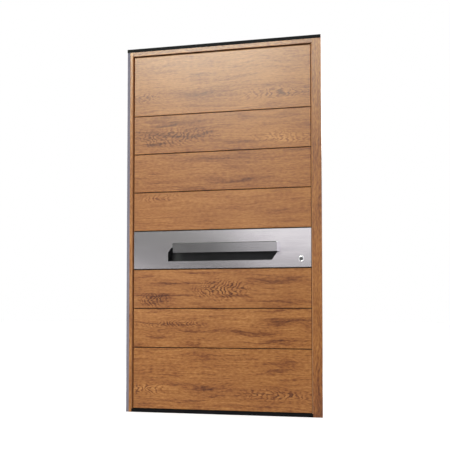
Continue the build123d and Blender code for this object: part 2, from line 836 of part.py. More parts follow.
# Hinges: the frame's wing carries the outer knuckles, the leaf's wing the middle one
knuckle_length = hinge_height / 3
knuckle_reach = knuckle_radius + wing_gap
wing_y = (inside, inside + wing_thickness)
hinge_bases = [
    leaf_bottom + (leaf_top - leaf_bottom) * share - hinge_height / 2 for share in hinge_heights_shares
]
for number, base in enumerate(hinge_bases, start=1):
    levels = [base + knuckle_length * n for n in range(4)]

    with BuildPart() as frame_wing:
        pocket(
            (hinge_axis_x - knuckle_reach - frame_wing_width, hinge_axis_x - knuckle_reach),
            wing_y,
            (levels[0], levels[3]),
            mode=Mode.ADD,
        )
        for low, high in ((levels[0], levels[1]), (levels[2], levels[3])):
            pocket((hinge_axis_x - knuckle_reach, hinge_axis_x), wing_y, (low, high), mode=Mode.ADD)
            bar_z(hinge_axis_x, hinge_axis_y, knuckle_radius, (low, high))
        pin_room_z = (levels[0] - overrun, levels[3] + overrun)
        bar_z(hinge_axis_x, hinge_axis_y, hinge_pin_radius, pin_room_z, mode=Mode.SUBTRACT)
    save(frame_wing, f"hinge_{number}_frame_wing")

    with BuildPart() as leaf_wing:
        pocket(
            (hinge_axis_x + knuckle_reach, hinge_axis_x + knuckle_reach + leaf_wing_width),
            wing_y,
            (levels[0], levels[3]),
            mode=Mode.ADD,
        )
        middle = (levels[1] + knuckle_gap, levels[2] - knuckle_gap)
        pocket((hinge_axis_x, hinge_axis_x + knuckle_reach), wing_y, middle, mode=Mode.ADD)
        bar_z(hinge_axis_x, hinge_axis_y, knuckle_radius, middle)
        pin_room_radius = hinge_pin_radius + running_clearance
        bar_z(hinge_axis_x, hinge_axis_y, pin_room_radius, (levels[1], levels[2]), mode=Mode.SUBTRACT)
    save(leaf_wing, f"hinge_{number}_leaf_wing")

# The pins, with a round head at each end
with BuildPart() as hinge_pins:
    for base in hinge_bases:
        top = base + hinge_height
        bar_z(hinge_axis_x, hinge_axis_y, hinge_pin_radius, (base, top))
        bar_z(hinge_axis_x, hinge_axis_y, knuckle_radius, (base - pin_head_height, base))
        bar_z(hinge_axis_x, hinge_axis_y, knuckle_radius, (top, top + pin_head_height))
save(hinge_pins, "hinge_pins")
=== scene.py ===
# %% [markdown]
# # A panelled front door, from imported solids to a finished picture
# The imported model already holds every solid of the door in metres: Z is up, the outside faces -Y,
# and X runs from the hinge side to the lock side. This lesson gives each solid its real finish,
# adds the small fittings that are easier as computed surfaces, and lights the door in a plain studio.
# We load the solids first and keep their box, so that nothing we add can make the door grow.

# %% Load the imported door
import math

import bmesh
import bpy
import numpy as np
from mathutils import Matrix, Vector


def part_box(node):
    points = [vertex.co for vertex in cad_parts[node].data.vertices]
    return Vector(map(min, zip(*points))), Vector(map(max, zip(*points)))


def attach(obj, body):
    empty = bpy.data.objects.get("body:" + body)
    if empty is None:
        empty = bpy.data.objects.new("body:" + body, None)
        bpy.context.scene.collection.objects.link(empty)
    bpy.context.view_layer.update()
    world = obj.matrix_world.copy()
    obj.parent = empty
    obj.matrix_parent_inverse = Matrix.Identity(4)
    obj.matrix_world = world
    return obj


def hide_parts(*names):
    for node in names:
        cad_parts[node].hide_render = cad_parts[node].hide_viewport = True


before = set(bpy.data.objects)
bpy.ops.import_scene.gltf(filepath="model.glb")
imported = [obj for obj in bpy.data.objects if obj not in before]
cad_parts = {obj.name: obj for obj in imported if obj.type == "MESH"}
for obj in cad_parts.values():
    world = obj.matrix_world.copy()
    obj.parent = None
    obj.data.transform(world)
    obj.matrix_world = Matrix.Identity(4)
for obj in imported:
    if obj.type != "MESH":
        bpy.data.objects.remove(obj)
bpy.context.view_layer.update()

MM = 0.001
scene = bpy.context.scene

# %% [markdown]
# ## Colour and nodes
# Colours are easiest to read off as sRGB hex, but the shaders work in linear light, so one function
# converts them. A second function adds a shader node: its properties come as keywords, and its inputs
# as values or as other nodes. Every node tree below is built by it. Most patterns start from noise of a
# known size, so a third function asks for that size in millimetres and works out the scale.


# %% Helpers for colours and nodes
def linear(hex_colour):
    """sRGB hex to linear RGBA: small values divide by 12.92, the others follow the 2.4 power curve."""
    srgb = np.array([int(hex_colour[i:i + 2], 16) for i in (1, 3, 5)]) / 255
    rgb = np.where(srgb <= 0.04045, srgb / 12.92, ((srgb + 0.055) / 1.055) ** 2.4)
    return (*rgb.tolist(), 1.0)


def add(tree, kind, inputs=(), **settings):
    """Add one shader node and set its properties. Its inputs come in order, or in a dict by name or number:
    a value is set, another node's output is linked, and a node stands for its own first output."""
    made = tree.nodes.new("ShaderNode" + kind)
    for name, value in settings.items():
        setattr(made, name, value)
    for key, value in inputs.items() if isinstance(inputs, dict) else enumerate(inputs):
        if isinstance(value, bpy.types.Node):
            value = value.outputs[0]
        if isinstance(value, bpy.types.NodeSocket):
            tree.links.new(value, made.inputs[key])
        else:
            made.inputs[key].default_value = value
    return made


def start_finish(name):
    """A new material with an empty node tree: returns both."""
    finish = bpy.data.materials.new(name)
    finish.use_nodes = True
    finish.node_tree.nodes.clear()
    return finish, finish.node_tree


def stretched(tree, place, sizes_mm, seed, detail=2.0, span=None):
    """Noise whose blots are about sizes_mm long along X, Y and Z: the place is divided by those sizes.
    A span of (low, high, to_low, to_high) carries low to to_low and high to to_high in a straight line."""
    scaled = add(tree, "VectorMath", (place, [1 / (s * MM) for s in sizes_mm]), operation="MULTIPLY")
    noise = add(tree, "TexNoise", {"Vector": scaled, "W": seed, "Scale": 1.0, "Detail": detail},
                noise_dimensions="4D")
    return add(tree, "MapRange", (noise, *span)) if span else noise


print("white is", linear("#ffffff")[:3], "and mid grey is", round(linear("#808080")[0], 3))

# %% [markdown]
# ## Golden oak: one flame
# Here and there in oak the saw ran out through the growth rings and left a flame, a row of chevrons. A
# wave texture gives stripes all over and no chevrons. Instead each flame is a soft oval with its own
# phase: along the grain the phase grows with the distance d, and across it falls with |u|, so a line of
# equal phase is a V. Noise makes the V ragged. The sine of the phase gives the rings, flattened on their
# light side, so that thin dark lines stand on a pale ground.

# %% One flame
FLAT_RINGS = (-1.0, 0.3, -1.0, 0.4)  # the sine is cut at 0.3, and what is left runs from -1 to 0.4
SOFT_OVAL = (0.25, 1.0, 1.0, 0.0)    # full strength in the oval's inner quarter, none at its rim


def flame(tree, along, across, jag, worn, zone):
    """One row of chevrons: strength * rings(2 pi (d - lean |u|) / pitch + jag) - gloom, inside a soft oval.
    A zone holds its middle along and across in metres, then half length, half height and pitch in mm,
    then lean (its sign turns the points round), strength and gloom. Worn is noise that breaks the rows."""
    x, z, length_mm, height_mm, pitch_mm, lean, strength, gloom = zone
    d = add(tree, "Math", (along, x), operation="SUBTRACT")
    u = add(tree, "Math", (across, z), operation="SUBTRACT")
    off = add(tree, "Math", (u,), operation="ABSOLUTE")
    vee = add(tree, "Math", (off, -lean, d), operation="MULTIPLY_ADD")
    turns = add(tree, "Math", (vee, math.tau / (pitch_mm * MM), jag), operation="MULTIPLY_ADD")
    wave = add(tree, "Math", (turns,), operation="SINE")
    rings = add(tree, "MapRange", (wave, *FLAT_RINGS))
    broken = add(tree, "Math", (rings, worn), operation="MULTIPLY")
    drawn = add(tree, "Math", (broken, strength, -gloom), operation="MULTIPLY_ADD")
    inside = add(tree, "CombineXYZ", {0: d, 2: u})
    sized = (1 / (length_mm * MM), 0, 1 / (height_mm * MM))
    oval = add(tree, "VectorMath", (inside, sized), operation="MULTIPLY")
    far = add(tree, "VectorMath", (oval,), operation="LENGTH").outputs["Value"]
    mask = add(tree, "MapRange", (far, *SOFT_OVAL))
    return add(tree, "Math", (drawn, mask), operation="MULTIPLY")


print("a flame fades out from", SOFT_OVAL[0], "of its oval to the rim")

# %% [markdown]
# ## Golden oak: a whole plank
# Round its flames a plank has long fibres, short flecks, smoky streaks and dark pores, all of them along
# the grain, under a satin lacquer. Each is noise that is stretched along the grain. Their sum is one tone,
# and a colour ramp from dark pore to pale fibre paints it, so the layers never mix to a colour that oak
# doesn't have. The grain runs through the wood, so it also shows on the edges of a board.

# %% The oak recipe
OAK = {0.0: "#552d17", 0.26: "#804b25", 0.5: "#a16834", 0.74: "#b67d43", 1.0: "#ce9a5a"}
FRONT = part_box("board_1")[0].y  # depth in the wood is counted from the boards' front
SWAY = 22 * MM                  # the fibres lean: a slow noise lifts and lowers them by up to this much
JAG = 7.0                       # radians by which the chevrons are ragged
BROAD_TONE, LONG_TONE, SHORT_TONE, PORE_TONE = 0.11, 0.28, 0.26, 0.12
PORE_GLOSS, LACQUER_GLOSS, LACQUER_SHINE = 0.42, 0.3, 0.36


def oak(name, zones=(), upright=False, seed=0.0, smoke=0.3, shift=0.0, painted_light_per_metre=0.0, leaf_mm=0.0, fine=1.0):
    """Lacquered oak, grain along X, or along Z where upright. A colour ramp paints the tone, which is
    middle + broad tone + painted light along the grain + fine (fibres + flecks) - smoke - pores + flames."""
    finish, tree = start_finish(name)
    turn = (0, math.pi / 2, 0) if upright else (0, 0, 0)
    place = add(tree, "Mapping", {0: add(tree, "TexCoord").outputs["Object"], 2: turn})
    along, depth, across = add(tree, "SeparateXYZ", (place,)).outputs
    depth = add(tree, "Math", (depth, FRONT), operation="SUBTRACT")
    if leaf_mm:
        # Book-matched veneer leaves: every second leaf is the mirror image of its neighbour.
        folded = add(tree, "Math", (across, leaf_mm * MM), operation="PINGPONG")
        across = add(tree, "Math", (folded, leaf_mm * MM / 2), operation="SUBTRACT")
        place = add(tree, "CombineXYZ", {0: along, 2: across})
    lift = stretched(tree, place, (380, 140, 140), seed, span=(0.2, 0.8, -SWAY, SWAY))
    swayed = add(tree, "Math", (across, lift))
    grain = add(tree, "CombineXYZ", (along, depth, swayed))
    jag = stretched(tree, place, (70, 28, 28), seed + 1, 3.5, (0.25, 0.75, -JAG, JAG))
    worn = stretched(tree, place, (60, 26, 26), seed + 7, span=(0.34, 0.56, 0.25, 1.0))
    broad = stretched(tree, grain, (460, 90, 90), seed + 2, span=(0.25, 0.75, -BROAD_TONE, BROAD_TONE))
    # Fibres and flecks are drawn 8 to 9 mm wide: real ones are finer than one pixel of the picture.
    long_tone, short_tone = LONG_TONE * fine, SHORT_TONE * fine
    fibres = stretched(tree, grain, (240, 9, 9), seed + 3, 4.0, (0.2, 0.8, -long_tone, long_tone))
    flecks = stretched(tree, grain, (26, 8, 8), seed + 6, 3.0, (0.25, 0.75, -short_tone, short_tone))
    smoky = stretched(tree, grain, (260, 30, 30), seed + 4, 3.0, (0.52, 0.74, 0.0, -smoke))
    pores = stretched(tree, grain, (40, 3, 3), seed + 5, span=(0.56, 0.7, 0.0, -PORE_TONE))
    # Painted light: the tone rises by painted_light_per_metre along the grain, which makes an upright piece
    # paler towards its top, where the light from above falls.
    middle = add(tree, "Math", (along, painted_light_per_metre, 0.5 + shift), operation="MULTIPLY_ADD")
    tone = add(tree, "Math", (broad, middle))
    for layer in [fibres, flecks, smoky, pores] + [flame(tree, along, swayed, jag, worn, z) for z in zones]:
        tone = add(tree, "Math", (tone, layer))
    ramp = add(tree, "ValToRGB", (tone,))
    for stop in list(OAK)[1:-1]:
        ramp.color_ramp.elements.new(stop)
    for element, colour in zip(ramp.color_ramp.elements, OAK.values()):
        element.color = linear(colour)
    gloss = add(tree, "MapRange", (pores, -PORE_TONE, 0.0, PORE_GLOSS, LACQUER_GLOSS))
    bump = add(tree, "Bump", {"Strength": 0.2, "Distance": 0.2 * MM, "Height": tone})
    shader = add(tree, "BsdfPrincipled", {"Base Color": ramp, "Roughness": gloss, "Normal": bump,
                                          "Specular IOR Level": LACQUER_SHINE})
    add(tree, "OutputMaterial", (shader,))
    return finish


def paint(finish, *names):
    """Give a finish to the material slots of these solids."""
    for name in names:
        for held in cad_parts[name].material_slots:
            held.material = finish


print("oak runs through", len(OAK), "colours from", OAK[0.0], "to", OAK[1.0])

# %% [markdown]
# ## Seven boards, seven planks
# Each board is its own plank, so each gets its own flames, smoke and tone. The two tall boards at the
# top and the bottom show the same figure, as veneer cut from one flitch does, so they share a seed. The
# flames are listed one by one: along the board in metres, and up the board as a share of its height.

# %% Finish the boards
TALL = ((-0.49, 0.31, 170, 38, 33, 1.0, 0.52, 0.0), (0.36, 0.25, 300, 42, 40, -1.0, 0.52, 0.0),
        (-0.12, 0.36, 250, 46, 60, 1.2, 0.10, 0.16))
FAINT = [(*flame_place, 0.65 * strength, gloom) for *flame_place, strength, gloom in TALL]
# Oak planks: a warm gold that the lacquer lifts, darker where smoke and flames lie, pale between them.
# Per board: flames, seed, smoke, tone shift, strength of the fine grain
PLANKS = {
    1: (TALL, 3.0, 0.34, 0.02, 1.0),
    2: (((-0.33, 0.60, 320, 32, 27, 1.0, 0.40, 0.0), (0.26, 0.38, 220, 24, 80, 2.0, 0.06, 0.28),
         (0.40, 0.66, 280, 30, 90, 2.0, 0.04, 0.20)), 11.0, 0.40, 0.03, 0.95),
    3: (((0.0, 0.45, 230, 84, 28, 0.9, 0.56, 0.04), (-0.44, 0.18, 140, 52, 26, 0.8, 0.46, 0.26),
         (0.36, 0.72, 240, 22, 70, 2.0, 0.05, 0.24)), 23.0, 0.46, 0.01, 0.75),
    5: (((-0.40, 0.84, 190, 22, 30, 1.0, 0.34, 0.0),), 31.0, 0.18, 0.02, 0.65),
    6: (((0.02, 0.83, 400, 38, 70, 1.6, 0.05, 0.17), (0.08, 0.26, 320, 24, 60, 1.6, 0.05, 0.16)), 47.0,
        0.26, 0.00, 0.75),
    7: (((-0.33, 0.42, 360, 84, 34, 0.9, 0.38, 0.16), (0.40, 0.28, 260, 44, 36, -0.9, 0.42, -0.14),
         (-0.20, 0.78, 260, 24, 60, 1.6, 0.05, 0.18)), 59.0, 0.40, 0.00, 0.7),
    8: (FAINT, 3.0, 0.24, 0.00, 0.7),
}
for number, (flames, seed, smoke, shift, fine) in PLANKS.items():
    low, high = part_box(f"board_{number}")
    placed = [(x, low.z + share * (high.z - low.z), *rest) for x, share, *rest in flames]
    plank = oak(f"oak_plank_{number}", placed, seed=seed, smoke=smoke, shift=shift, fine=fine)
    paint(plank, f"board_{number}")
print(len(PLANKS), "boards finished in oak")

# %% [markdown]
# ## The frame and the inside face
# The jambs are cut along the tree too, so the same recipe is turned upright, with straight grain. The
# head lies on its side. The inside face is one sheet of crown-cut veneer in book-matched leaves: the
# recipe folds the width like a paper fan, and one long flame with steep sides makes each leaf's crown.

# %% Finish the frame and the inside face
# Turned upright, the recipe's along is the height, and its across is the width with its sign changed.
# Lock jamb: calm, reddish oak, paler towards its foot and darker above its middle. Two wide zones without
# rings make that change.
PATCHES = ((0.62, -0.60, 620, 400, 60, 1.0, 0.0, -0.16), (1.62, -0.60, 320, 400, 60, 1.0, 0.0, 0.07))
# Painted light from above also makes the jamb paler towards its top, by 0.10 of tone a metre.
jamb_oak = oak("oak_lock_jamb", PATCHES, upright=True, seed=83, smoke=0.05, shift=-0.24, painted_light_per_metre=0.10)
paint(jamb_oak, "lock_jamb", "lock_cover_board")
# Hinge jamb: a narrow strip of straight grain in the boards' own gold, painted paler towards its top as light
# from above.
paint(oak("oak_hinge_jamb", upright=True, seed=71, smoke=0.25, shift=-0.02, painted_light_per_metre=0.10), "hinge_jamb")
# Head: the same lying down, a little darker, since the light from above makes it paler again.
paint(oak("oak_head", seed=97, smoke=0.2, shift=-0.08), "head_rail")
# Veneer sheet: tall crowns side by side, each the mirror image of the next.
CROWN = ((0.75, 0.0, 1300, 150, 46, 7.0, 0.16, 0.0), (1.75, 0.0, 900, 150, 52, 7.0, 0.14, 0.0))
paint(oak("oak_veneer_sheet", CROWN, upright=True, seed=5, leaf_mm=285, smoke=0.2, shift=0.03), "inner_skin")
print("frame and inside face finished")

# %% [markdown]
# ## Brushed stainless steel
# The handle band and the ledge are stainless sheet, brushed along their length. Brushing leaves
# scratches that are long in X and very fine in Z. They spread a reflection up and down, and show as
# faint lighter and darker lines. We draw them as noise that is stretched along X, for the colour, the
# roughness and a slight bump. The ledge's face plate is a duller sheet than the band.

# %% The recipe for steel
RIM_SHADE_COLOUR, RIM_SHADE_SOFT = "#54463a", 0.5 * MM
GLOSS_SPREAD = 0.02


def brushed(name, colour, dark, rough, seed, line_mm=5.0, shaded_rims=None):
    """Brushed sheet: colour and roughness follow lines that are line_mm wide and 0.4 m long. Between the
    heights in shaded_rims the sheet is plain, and outside them, where its edges bend back, it is painted
    dark as shade."""
    finish, tree = start_finish(name)
    place = add(tree, "TexCoord").outputs["Object"]
    # Real brush lines are a tenth of a millimetre wide: they are drawn 2 to 5 mm wide, so that they show.
    lines = stretched(tree, place, (400, line_mm, line_mm), seed, 4.0)
    clouds = stretched(tree, place, (160, 60, 30), seed + 1)
    share = add(tree, "MapRange", (add(tree, "Math", (lines, clouds)), 0.7, 1.3, 0.0, 1.0))
    tint = add(tree, "Mix", {0: share, 6: linear(dark), 7: linear(colour)}, data_type="RGBA").outputs[2]
    # Painted shade: below the foot rim and above the top rim the tint turns to the dark rim colour.
    if shaded_rims:
        foot, top = shaded_rims
        height = add(tree, "SeparateXYZ", (place,)).outputs[2]
        below = add(tree, "MapRange", (height, foot - RIM_SHADE_SOFT, foot + RIM_SHADE_SOFT, 1.0, 0.0))
        above = add(tree, "MapRange", (height, top - RIM_SHADE_SOFT, top + RIM_SHADE_SOFT, 0.0, 1.0))
        rim_shade = add(tree, "Math", (below, above), operation="MAXIMUM")
        tint = add(tree, "Mix", {0: rim_shade, 6: tint, 7: linear(RIM_SHADE_COLOUR)}, data_type="RGBA").outputs[2]
    gloss = add(tree, "MapRange", (lines, 0.3, 0.7, rough + GLOSS_SPREAD, rough - GLOSS_SPREAD))
    scratch = stretched(tree, place, (60, 1.2, 1.2), seed + 2)
    bump = add(tree, "Bump", {"Strength": 0.07, "Distance": 0.05 * MM, "Height": scratch})
    shader = add(tree, "BsdfPrincipled", {"Base Color": tint, "Roughness": gloss, "Normal": bump,
                                          "Metallic": 1.0})
    add(tree, "OutputMaterial", (shader,))
    return finish


print("brushing changes the roughness by", GLOSS_SPREAD, "either way")

# %% [markdown]
# ## Five kinds of steel and nickel
# The same recipe gives every metal that shows, from the wide sheet to the lock's cylinder. Only the tone,
# the roughness and the width of the lines change: a rougher metal shows the room as a soft sweep, and a
# smoother one as small bright glints.

# %% Steel for the band, the ledge and the fittings
# Band: pale stainless with soft sweeps of light, and thin rims painted dark as shade where the sheet bends
# back.
low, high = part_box("steel_band")
FOOT_RIM, TOP_RIM = 2.8 * MM, 1.5 * MM
band_shaded_rims = (low.z + FOOT_RIM, high.z - TOP_RIM)
band_steel = brushed("brushed_stainless_band", "#dcd6dc", "#cfc9d0", 0.24, 2.0, shaded_rims=band_shaded_rims)
# Ledge: a duller, finer sheet, which stands off the band as a darker grey.
ledge_steel = brushed("brushed_stainless_ledge", "#b6b2b7", "#a4a0a5", 0.23, 8.0, 3.0)
# Satin stainless: an even grey with a wide highlight, for plates, bolts, hinges and the lever.
hardware = brushed("satin_stainless", "#c9c9cc", "#a4a5a8", 0.27, 14.0, 2.0)
# Dark nickel: the cylinder reads as a dark dot in its bright rosette.
nickel = brushed("dark_nickel", "#77777a", "#5c5c60", 0.3, 26.0, 2.0)
# Polished stainless: near to a mirror, so that rims and edges are bright lines. On the ledge's right end it
# also stands as a painted highlight, where the light from the right falls.
polished_and_highlight = brushed("polished_stainless_and_highlight", "#f4f4f6", "#e4e4e8", 0.14, 20.0, 2.0)
paint(band_steel, "steel_band")
# Painted highlight: the ledge's right end takes the bright polished steel on top of its real reflection,
# while its left end is painted black as shade.
paint(polished_and_highlight, "right_ledge_end")
paint(ledge_steel, "ledge_plate")
paint(nickel, "cylinder_body", "cylinder_plug")
hinge_nodes = [f"hinge_{n}_{side}_wing" for n in (1, 2, 3) for side in ("frame", "leaf")]
paint(hardware, "hinge_pins", "main_strike", "lower_strike", "upper_strike", "lock_faceplate",
      "outer_rosette", "inner_rosette", "lever_rose", "lever_handle",
      "latch_bolt", "dead_bolt", "lower_bolt", "upper_bolt", *hinge_nodes)
print("steel on the band, the ledge and the fittings")

# %% [markdown]
# ## Coated, plated, moulded and sawn
# The rest of the door is made of plain stuff that still isn't one flat colour: powder coat has an orange
# peel, zinc plating has pale spangles, rubber is dusty, foam has cells, and sawn softwood has soft bands.
# One recipe covers them: two tones mixed by a noise of the right size, and a bump of the right grain.


# %% The recipe for plain finishes
def two_tone(name, colour, other, rough, blot_mm, grain_mm, height_mm, metallic=0.0, shine=0.5):
    """Two tones mixed by blots of blot_mm (one size, or one per axis), with a bump of grain_mm. The second
    tone is also the rougher one."""
    finish, tree = start_finish(name)
    place = add(tree, "TexCoord").outputs["Object"]
    blots = blot_mm if isinstance(blot_mm, tuple) else (blot_mm,) * 3
    share = stretched(tree, place, blots, 1.0, 3.0, (0.35, 0.65, 0.0, 1.0))
    tint = add(tree, "Mix", {0: share, 6: linear(colour), 7: linear(other)}, data_type="RGBA").outputs[2]
    gloss = add(tree, "MapRange", (share, 0.0, 1.0, rough - 0.05, rough + 0.07))
    grain = stretched(tree, place, (grain_mm,) * 3, 2.0)
    bump = add(tree, "Bump", {"Strength": 0.3, "Distance": height_mm * MM, "Height": grain})
    shader = add(tree, "BsdfPrincipled", {"Base Color": tint, "Roughness": gloss, "Normal": bump,
                                          "Metallic": metallic, "Specular IOR Level": shine})
    add(tree, "OutputMaterial", (shader,))
    return finish


# Powder coat: a matt black with a soft orange peel that breaks what is left of the highlight.
powder = two_tone("black_powder_coat", "#0c0c0d", "#141416", 0.6, 90, 1.5, 0.05, shine=0.06)
# Satin coat: the black of the recess and the ledge's hood and left end, painted as the ledge's cast shadow
# and the shade along its edges, with enough sheen to show its folds.
painted_shadow_satin = two_tone("black_satin_painted_shadow", "#1c1c1d", "#242426", 0.4, 60, 1.5, 0.04, shine=0.35)
# Laminate: a dead black sheet behind the boards, which makes the grooves read as dark lines.
laminate = two_tone("black_laminate", "#090909", "#101010", 0.55, 60, 1.0, 0.02)
# Lacquered aluminium: an even grey with a slightly blue cast and almost no highlight.
lacquer = two_tone("grey_lacquered_aluminium", "#84828c", "#787681", 0.6, (40, 40, 500), 0.8, 0.01, shine=0.1)
# Brown rubber: as pale as the wood, and in the shadow of the gap it gives a soft brown line.
brown_rubber = two_tone("brown_rubber", "#b8845a", "#c49168", 0.75, 25, 0.8, 0.03, shine=0.2)
# Dark brown rubber: the brown rubber painted darker, as the shade in the gap under the head, which is nearly
# black.
head_shade_rubber = two_tone("brown_rubber_painted_shade", "#5c402b", "#684a33", 0.75, 25, 0.8, 0.03, shine=0.2)
# Rubber: matt black with a little dust on it.
rubber = two_tone("black_rubber", "#101010", "#1c1c1b", 0.72, 25, 0.8, 0.03)
# Zinc plating: cool grey with paler spangles.
zinc = two_tone("zinc_plate", "#9aa0a6", "#b7babd", 0.36, 9, 0.8, 0.01, metallic=1.0)
# Softwood: bands of spring and summer wood along the stiles, stained to go with the boards.
softwood = two_tone("laminated_softwood", "#9c6b3b", "#b4824c", 0.5, (14, 14, 420), 1.2, 0.05)
# Foam: off-white, with a fine cell texture.
foam = two_tone("rigid_foam", "#d8d6cb", "#e6e4da", 0.85, 6, 1.0, 0.2)
print("finishes so far:", len(bpy.data.materials))

# %% [markdown]
# ## Which solid gets which finish
# A table is the plainest way to hand the finishes out: one row for each finish, with its solids.

# %% Hand out the plain finishes
plain_finishes = {
    powder: ("head_cap", "threshold"),
    # The recess under the ledge is painted black as the ledge's cast shadow, and its hood and left end as
    # shade.
    painted_shadow_satin: ("recess_tray", "grip_ledge", "left_ledge_end"),
    laminate: ("backing_sheet",),
    lacquer: ("hinge_side_trim",),
    rubber: ("frame_gasket", "bottom_seal"),
    zinc: ("lock_case", "lower_bolt_case", "upper_bolt_case", "lower_drive_rod", "upper_drive_rod",
           "lever_spindle"),
    softwood: ("hinge_stile", "lock_stile", "top_rail", "bottom_rail", "lower_band_rail",
               "upper_band_rail", "band_carrier"),
    foam: ("insulation",),
}
for finish, names in plain_finishes.items():
    paint(finish, *names)
print("plain finishes on", sum(len(names) for names in plain_finishes.values()), "solids")

# %% [markdown]
# ## Turned fittings
# Screws, rosettes and hinge finials are all turned: a profile spun round an axis. A primitive cone or
# cylinder has no crown and no socket, so we compute the surface on a grid instead. One parameter is the
# angle a, the other steps along the profile, and a point is centre + r cos a e1 + r sin a e2 + h n, where
# n is the axis. The radius may carry six lobes, r (1 + k cos 6a), which gives a screw its socket.

# %% Turned surfaces as whole arrays
SHARP = math.radians(38)  # a steeper fold than this stays a crisp edge
LOBES = 6


def add_piece(name, points, faces, finish, body):
    """Put corner and face arrays into a mesh at the origin, shade it smooth, and let it ride on a body."""
    mesh = bpy.data.meshes.new(name)
    mesh.from_pydata(points.tolist(), [], faces)
    shell = bmesh.new()
    shell.from_mesh(mesh)
    bmesh.ops.recalc_face_normals(shell, faces=shell.faces)
    shell.to_mesh(mesh)
    shell.free()
    mesh.materials.append(finish)
    mesh.shade_smooth()
    mesh.set_sharp_from_angle(angle=SHARP)
    piece = bpy.data.objects.new(name, mesh)
    scene.collection.objects.link(piece)
    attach(piece, body)
    print(name, "has", len(mesh.polygons), "faces and rides on", body)
    return piece


def turned(name, rings, centres, facing, finish, body, ring_shape=False, steps=36):
    """Spin rings of (radius mm, height mm, lobe share) round the axis 'facing' at every centre.
    Ends are closed by flat faces, or by the first ring again where ring_shape makes a hollow collar."""
    normal = np.array(facing, float)
    first = np.roll(normal, 1)
    second = np.cross(normal, first)
    angle = np.arange(steps) * math.tau / steps
    radius, height, lobe = (np.array(rings, float).T)[:, :, None]
    spun = radius * MM * (1 + lobe * np.cos(LOBES * angle))
    flat = spun[..., None] * (np.cos(angle)[:, None] * first + np.sin(angle)[:, None] * second)
    shape = (flat + (height * MM)[..., None] * normal).reshape(-1, 3)
    points = np.array(centres, float)[:, None, :] + shape
    count = len(rings)
    here = np.arange(count if ring_shape else count - 1)[:, None] * steps + np.arange(steps)
    after = here - here % steps + (here + 1) % steps
    up = (here + steps) % (count * steps)
    quads = np.stack([here, after, (after + steps) % (count * steps), up], -1).reshape(-1, 4)
    starts = np.arange(len(points)) * count * steps
    faces = (quads + starts[:, None, None]).reshape(-1, 4).tolist()
    if not ring_shape:
        ends = np.stack([np.arange(steps)[::-1], np.arange(steps) + (count - 1) * steps])
        faces += (ends + starts[:, None, None]).reshape(-1, steps).tolist()
    return add_piece(name, points.reshape(-1, 3), faces, finish, body)


print("folds over", round(math.degrees(SHARP)), "degrees stay sharp")

# %% [markdown]
# ## Screws
# Raised countersunk screws hold the hinge wings, the lock's faceplate and the strikes. The CAD plates have
# no holes for them, so each head stands on its plate and dips 0.5 mm into it. The profile starts in the
# plate, rises to the crown, and drops into the six-lobe socket.

# %% Screws in the hinges
SCREW = ((4.0, -0.5, 0), (4.0, 0.2, 0), (3.6, 0.75, 0), (2.6, 1.2, 0), (1.7, 1.35, 0.16), (1.5, 0.45, 0.16))
WING = 4 * MM                              # thickness of a hinge wing's plate
FRAME_END, FRAME_SIDE = 18 * MM, 7.5 * MM  # how far in from a frame wing's ends and its outer edge
LEAF_END, LEAF_SIDE = 16 * MM, 9 * MM      # the same on a leaf wing
LEAF_ZIGZAG = 13 * MM                      # every second screw of a leaf wing stands further in
wing_screws, leaf_screws = [], []
for number in (1, 2, 3):
    low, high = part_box(f"hinge_{number}_frame_wing")
    rows = np.linspace(low.z + FRAME_END, high.z - FRAME_END, 3)
    wing_screws += [(low.x + FRAME_SIDE, low.y + WING, z) for z in rows]
    low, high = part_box(f"hinge_{number}_leaf_wing")
    rows = np.linspace(low.z + LEAF_END, high.z - LEAF_END, 4)
    leaf_screws += [(high.x - LEAF_SIDE - LEAF_ZIGZAG * (n % 2), low.y + WING, z) for n, z in enumerate(rows)]
turned("frame_wing_screws", SCREW, wing_screws, (0, 1, 0), hardware, "frame")
turned("leaf_wing_screws", SCREW, leaf_screws, (0, 1, 0), hardware, "leaf")

# %% [markdown]
# ## Screws in the lock's plates
# The faceplate is a long strip in the leaf's edge, with openings for the bolts, so its screws stand between
# them. Each strike has one screw at each end. Both use the profile that the hinges' screws have.

# %% Screws in the lock's plates
PLATE_END, STRIKE_END = 12 * MM, 9 * MM    # how far in from the ends of the faceplate and of a strike
BETWEEN_BOLTS = (0.42, 0.70, 1.24, 1.52)   # heights in metres where the faceplate has no opening
low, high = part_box("lock_faceplate")
middle_y = (low.y + high.y) / 2
rows = (low.z + PLATE_END, *BETWEEN_BOLTS, high.z - PLATE_END)
turned("faceplate_screws", SCREW, [(high.x, middle_y, z) for z in rows], (1, 0, 0), hardware, "leaf")
strike_screws = []
for name in ("main_strike", "lower_strike", "upper_strike"):
    low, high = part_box(name)
    strike_screws += [(low.x, middle_y, z) for z in (low.z + STRIKE_END, high.z - STRIKE_END)]
turned("strike_screws", SCREW, strike_screws, (-1, 0, 0), hardware, "frame")

# %% [markdown]
# ## Rosettes, collar and finials
# The key's rosettes have a soft, domed rim that the solid only hints at with a bevel, so a turned ring
# stands for each. The lever's neck gets a thin collar where it meets its rose, and each hinge pin ends in a
# low domed finial. All of them stay inside the box of the solids.

